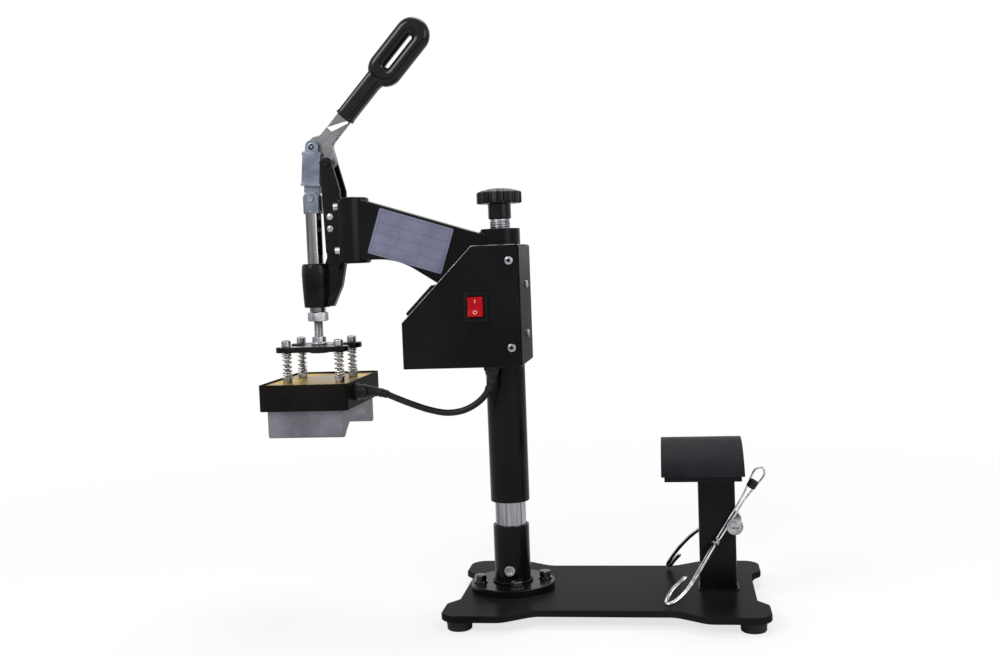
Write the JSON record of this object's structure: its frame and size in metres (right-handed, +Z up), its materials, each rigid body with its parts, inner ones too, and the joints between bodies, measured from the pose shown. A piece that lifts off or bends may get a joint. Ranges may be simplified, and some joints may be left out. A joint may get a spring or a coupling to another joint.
{
  "type": "cap heat press",
  "caption": "Swing-away heat press for caps: a toggle handle drives a heated, hollow-faced platen onto a curved pad.",
  "frame": {"origin": "middle of the overall footprint, on the surface that the feet stand on", "axes": "+Z up, +X from the swung-away head towards the cap platen, +Y the depth"},
  "size_m": [0.6023, 0.252, 0.7311],
  "materials": {
    "black_coat": "gloss powder coat",
    "black_cast": "satin black casting",
    "chrome": "polished",
    "bright_steel": "plain machined",
    "zinc": "bright zinc plate",
    "gold_zinc": "yellow passivated sheet",
    "aluminium": "machined casting",
    "bronze": "plain sintered",
    "rubber": "matt",
    "vinyl": "dipped vinyl",
    "plastic": "moulded",
    "red_plastic": "translucent red",
    "window_plastic": "dark red filter",
    "plate_silver": "satin foil"
  },
  "bodies": {
    "stand": {"base_plate": "black_coat", "rubber_foot_1": "rubber", "rubber_foot_2": "rubber", "rubber_foot_3": "rubber", "rubber_foot_4": "rubber", "column_flange": "black_coat", "column_socket": "black_coat", "column_post": "chrome", "stand_post": "black_coat", "platen_base": "black_coat", "cap_platen": "black_coat", "platen_pad": "rubber"},
    "bail": {"bail_shaft": "chrome", "bail_rod_near": "chrome", "bail_rod_far": "chrome", "bail_loop": "chrome", "bail_tip": "rubber"},
    "thrust": {"thrust_cap": "bright_steel"},
    "knob": {"pressure_knob": "plastic", "pressure_screw": "bright_steel"},
    "arm": {"swing_tube": "black_coat", "swing_bush_lower": "bronze", "swing_bush_upper": "bronze", "tube_plug": "bright_steel", "arm_beam": "black_coat", "arm_boss": "black_coat", "rating_plate": "plate_silver", "toggle_frame": "black_cast", "handle_pin": "zinc", "control_box": "black_coat", "control_box_back": "black_coat", "controller": "plastic", "controller_window": "window_plastic", "switch_housing": "plastic", "box_gland": "rubber", "heater_lead": "rubber"},
    "rocker": {"switch_rocker": "red_plastic"},
    "key_left": {"key_1": "plastic"},
    "key_middle": {"key_2": "plastic"},
    "key_right": {"key_3": "plastic"},
    "handle": {"handle_lever": "bright_steel", "handle_grip": "vinyl"},
    "link": {"toggle_link": "bright_steel"},
    "plunger": {"plunger": "chrome", "head_stud": "zinc", "pressure_plate": "black_coat"},
    "head": {"head_bolt_1": "zinc", "head_bolt_2": "zinc", "head_bolt_3": "zinc", "head_bolt_4": "zinc", "head_spring_1": "bright_steel", "head_spring_2": "bright_steel", "head_spring_3": "bright_steel", "head_spring_4": "bright_steel", "heater_shroud": "black_coat", "heater_cover": "gold_zinc", "heater_platen": "aluminium", "heating_element": "bright_steel", "lead_gland": "rubber"}
  },
  "joints": [
    {"name": "arm_swing", "type": "hinge", "parent": "stand", "child": "thrust", "pos_m": [-0.0087, 0, 0.405], "axis": [0, 0, 1], "continuous": true},
    {"name": "arm_lift", "type": "slide", "parent": "thrust", "child": "arm", "axis": [0, 0, 1], "range_m": [-0.025, 0.01]},
    {"name": "knob_turn", "type": "hinge", "parent": "thrust", "child": "knob", "pos_m": [-0.0087, 0, 0.4675], "axis": [0, 0, 1], "range_deg": [-1260, 3060]},
    {"name": "handle_pull", "type": "hinge", "parent": "arm", "child": "handle", "pos_m": [-0.2224, 0, 0.557], "axis": [0, -1, 0], "range_deg": [0, 125.9]},
    {"name": "link_turn", "type": "hinge", "parent": "handle", "child": "link", "pos_m": [-0.2399, 0, 0.578], "axis": [0, -1, 0], "range_deg": [-136, 0]},
    {"name": "plunger_slide", "type": "slide", "parent": "arm", "child": "plunger", "axis": [0, 0, 1], "range_m": [-0.0458, 0], "deforming": ["heater_lead"]},
    {"name": "head_float", "type": "slide", "parent": "plunger", "child": "head", "axis": [0, 0, 1], "range_m": [0, 0.008], "stiffness_N_per_m": 8000, "springref_m": -0.006, "deforming": ["head_spring_1", "head_spring_2", "head_spring_3", "head_spring_4"]},
    {"name": "switch_rock", "type": "hinge", "parent": "arm", "child": "rocker", "pos_m": [-0.0339, -0.0565, 0.3743], "axis": [1, 0, 0], "range_deg": [0, 16]},
    {"name": "key_1_press", "type": "slide", "parent": "arm", "child": "key_left", "axis": [0.7142, 0, -0.6999], "range_m": [0, 0.001], "stiffness_N_per_m": 400, "springref_m": -0.0005},
    {"name": "key_2_press", "type": "slide", "parent": "arm", "child": "key_middle", "axis": [0.7142, 0, -0.6999], "range_m": [0, 0.001], "stiffness_N_per_m": 400, "springref_m": -0.0005},
    {"name": "key_3_press", "type": "slide", "parent": "arm", "child": "key_right", "axis": [0.7142, 0, -0.6999], "range_m": [0, 0.001], "stiffness_N_per_m": 400, "springref_m": -0.0005},
    {"name": "bail_lift", "type": "hinge", "parent": "stand", "child": "bail", "pos_m": [0.2648, 0, 0.1], "axis": [0, 1, 0], "range_deg": [0, 75]}
  ],
  "couplings": [
    {"joint": "knob_turn", "follows": "arm_lift", "rad_per_m": -2094.4},
    {"joint": "link_turn", "follows": "handle_pull", "ratio": -1.0778},
    {"joint": "plunger_slide", "follows": "handle_pull", "m_per_rad": -0.020798}
  ]
}
